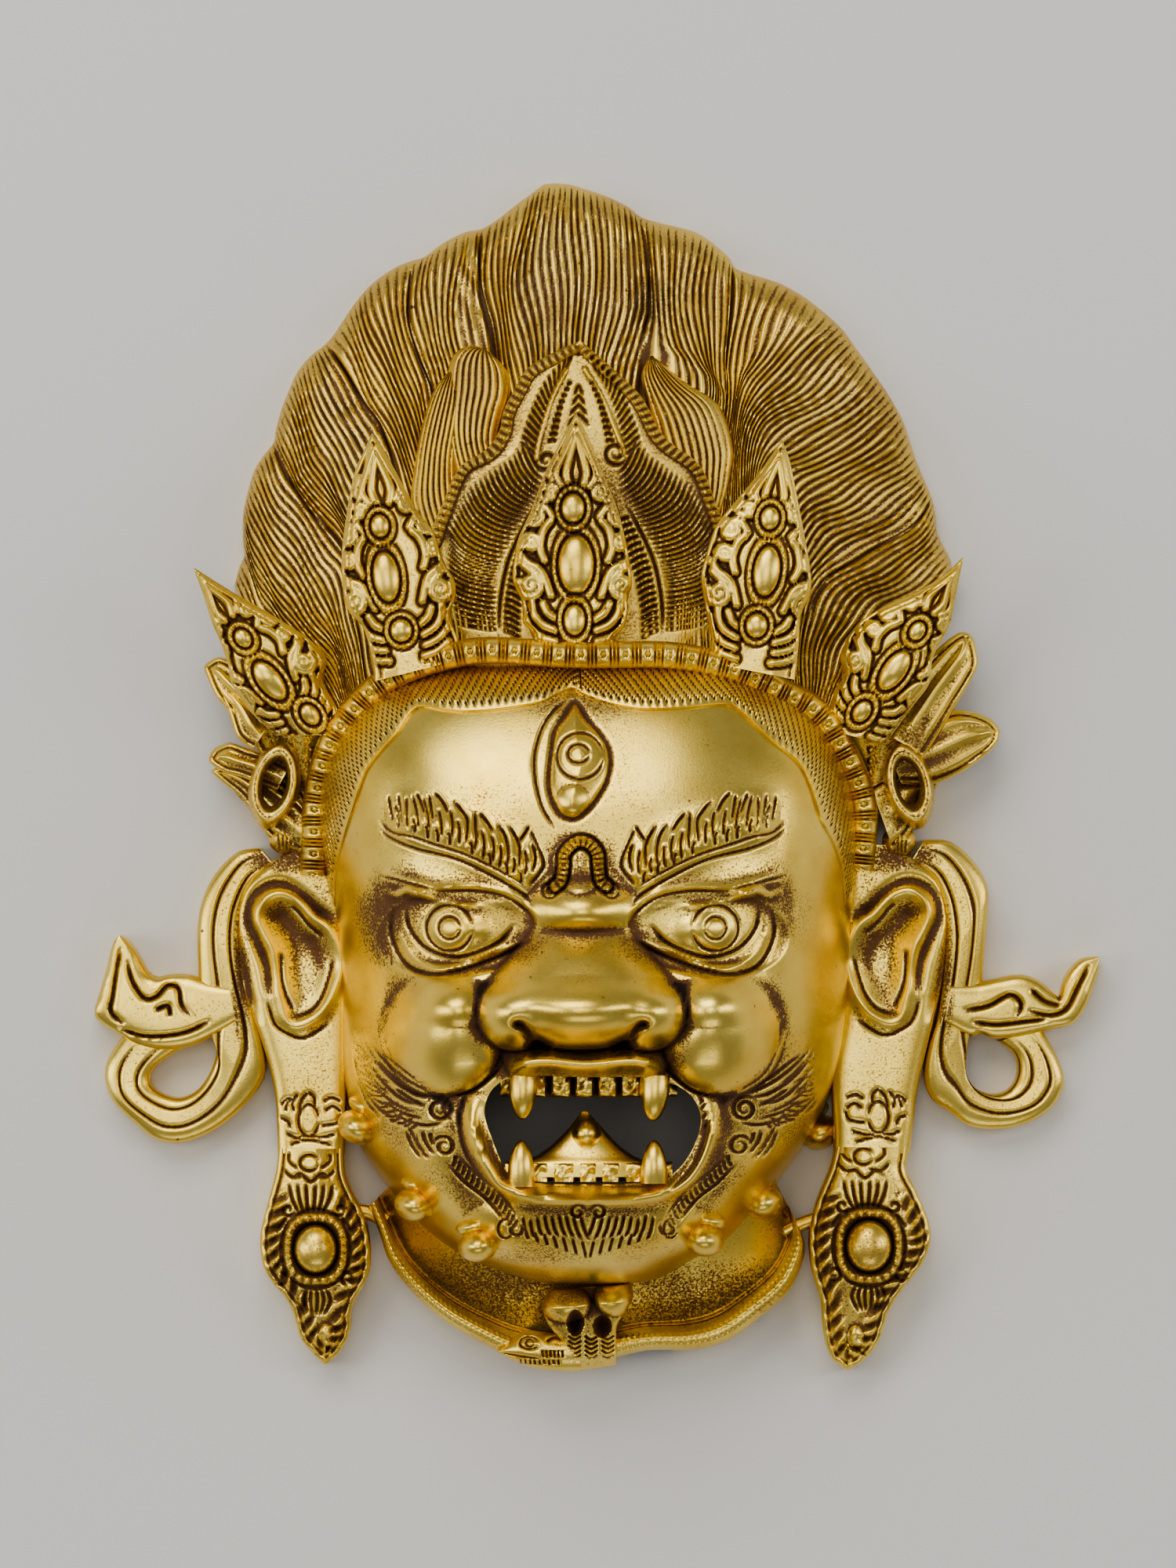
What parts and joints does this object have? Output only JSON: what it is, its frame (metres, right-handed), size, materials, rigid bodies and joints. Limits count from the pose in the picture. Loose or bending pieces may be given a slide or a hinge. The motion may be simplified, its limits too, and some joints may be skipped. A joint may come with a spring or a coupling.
{
  "type": "brass deity mask",
  "caption": "Hollow cast brass mask of a wrathful three-eyed, fanged protector, with a jewelled leaf crown, flame-like hair, flying ribbons, ear pendants and a snake round its neck.",
  "frame": {"origin": "middle of the mask's outline, in the plane of its flat back rim, on which it lies", "axes": "+Z the way the face looks, away from the flat back; +Y towards the tip of the hair; +X to the right of someone who faces the mask"},
  "size_m": [0.2571, 0.3047, 0.0934],
  "materials": {
    "brass": "polished cast brass with a brown patina in its hollows"
  },
  "bodies": {
    "root": {"mask": "brass"}
  },
  "joints": []
}
